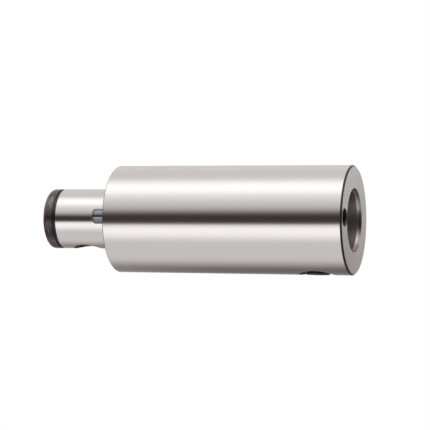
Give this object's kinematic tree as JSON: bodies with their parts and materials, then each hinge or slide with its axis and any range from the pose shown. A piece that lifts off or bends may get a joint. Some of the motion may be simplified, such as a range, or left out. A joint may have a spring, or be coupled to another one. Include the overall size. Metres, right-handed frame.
{
  "type": "modular extension bar",
  "caption": "Turned and ground steel extension bar with a spigot and drive pin at one end, and a matching socket with a radial clamp screw at the other.",
  "frame": {"origin": "centre of the socket face, on which the bar stands", "axes": "+Z along the bar from the socket to the spigot; the drive pin and drive hole are on the -Y side, the clamp screw and its pocket on the -X side"},
  "size_m": [0.05, 0.05, 0.1469],
  "materials": {
    "ground_steel": "fine ground around the bar, with an unground black nose on the spigot",
    "pin_steel": "hardened and ground",
    "screw_steel": "black oxide, slightly oily"
  },
  "bodies": {
    "bar": {"bar": "ground_steel", "drive_pin": "pin_steel"},
    "clamp_screw": {"clamp_screw": "screw_steel"}
  },
  "joints": [
    {"name": "screw_travel", "type": "slide", "parent": "bar", "child": "clamp_screw", "axis": [1, 0, 0], "range_m": [0, 0.0052]}
  ]
}
